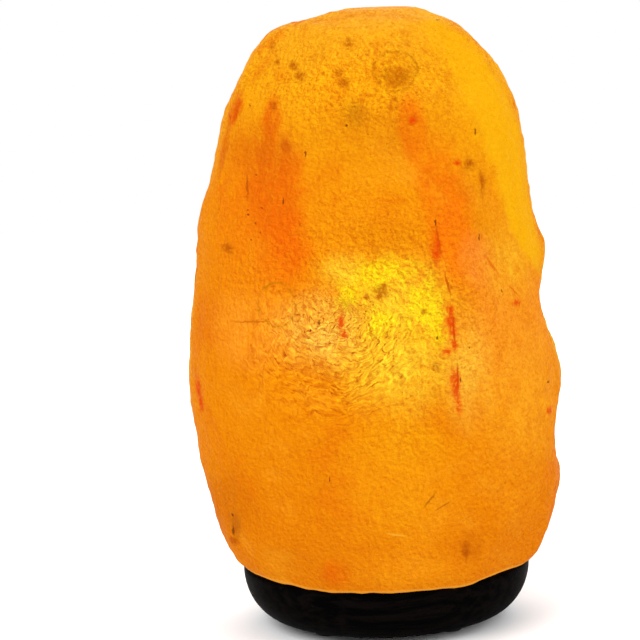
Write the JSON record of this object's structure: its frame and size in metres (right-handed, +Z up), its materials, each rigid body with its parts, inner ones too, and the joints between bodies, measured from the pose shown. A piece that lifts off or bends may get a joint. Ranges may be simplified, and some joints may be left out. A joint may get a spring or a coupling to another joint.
{
  "type": "salt crystal lamp",
  "caption": "Table lamp: rough amber rock salt block, lit from inside, on a shallow turned wooden base, with a pull-out lamp holder and a small screw-in bulb.",
  "frame": {"origin": "middle of the footprint, on the surface the lamp stands on, on the common axis of the base, the bore and the bulb", "axes": "+Z up, -Y towards the front of the lamp, +X to its right as seen from the front; the cord channel leaves towards +Y"},
  "size_m": [0.1615, 0.1447, 0.266],
  "materials": {
    "salt_crystal": "matte",
    "wooden_base": "satin",
    "rubber_feet": "matte",
    "base_screws": "satin",
    "screw_anchors": "matte",
    "holder_plastic": "gloss",
    "contact_carrier": "gloss",
    "spring_clip": "satin",
    "screw_shell": "satin",
    "contact_brass": "satin",
    "terminal_screws": "satin",
    "tip_contact": "satin",
    "cap_insulator": "gloss",
    "bulb_cap": "satin",
    "bulb_glass": "gloss",
    "glass_stem": "gloss",
    "lead_wires": "satin",
    "filament": "satin"
  },
  "bodies": {
    "lamp": {"salt_crystal": "salt_crystal", "wooden_base": "wooden_base", "rubber_feet": "rubber_feet", "base_screws": "base_screws", "screw_anchors": "screw_anchors"},
    "holder": {"holder_cap": "holder_plastic", "spring_clip": "spring_clip", "holder_body": "holder_plastic", "contact_carrier": "contact_carrier", "screw_shell": "screw_shell", "centre_contact": "contact_brass", "contact_rivets": "contact_brass", "terminal_blocks": "contact_brass", "terminal_screws": "terminal_screws"},
    "bulb_contact": {"tip_contact": "tip_contact"},
    "bulb": {"cap_insulator": "cap_insulator", "bulb_cap": "bulb_cap", "bulb_glass": "bulb_glass", "glass_stem": "glass_stem", "lead_wires": "lead_wires", "filament": "filament", "support_wire": "lead_wires"}
  },
  "joints": [
    {"name": "holder_slide", "type": "slide", "parent": "lamp", "child": "holder", "axis": [0, 0, -1], "range_m": [0, 0.13]},
    {"name": "bulb_rise", "type": "slide", "parent": "holder", "child": "bulb_contact", "axis": [0, 0, 1], "range_m": [0, 0.0099]},
    {"name": "bulb_turn", "type": "hinge", "parent": "bulb_contact", "child": "bulb", "pos_m": [0, 0, 0.0746], "axis": [0, 0, 1], "range_deg": [0, 1260]}
  ],
  "couplings": [
    {"joint": "bulb_rise", "follows": "bulb_turn", "m_per_rad": 0.00044914}
  ]
}
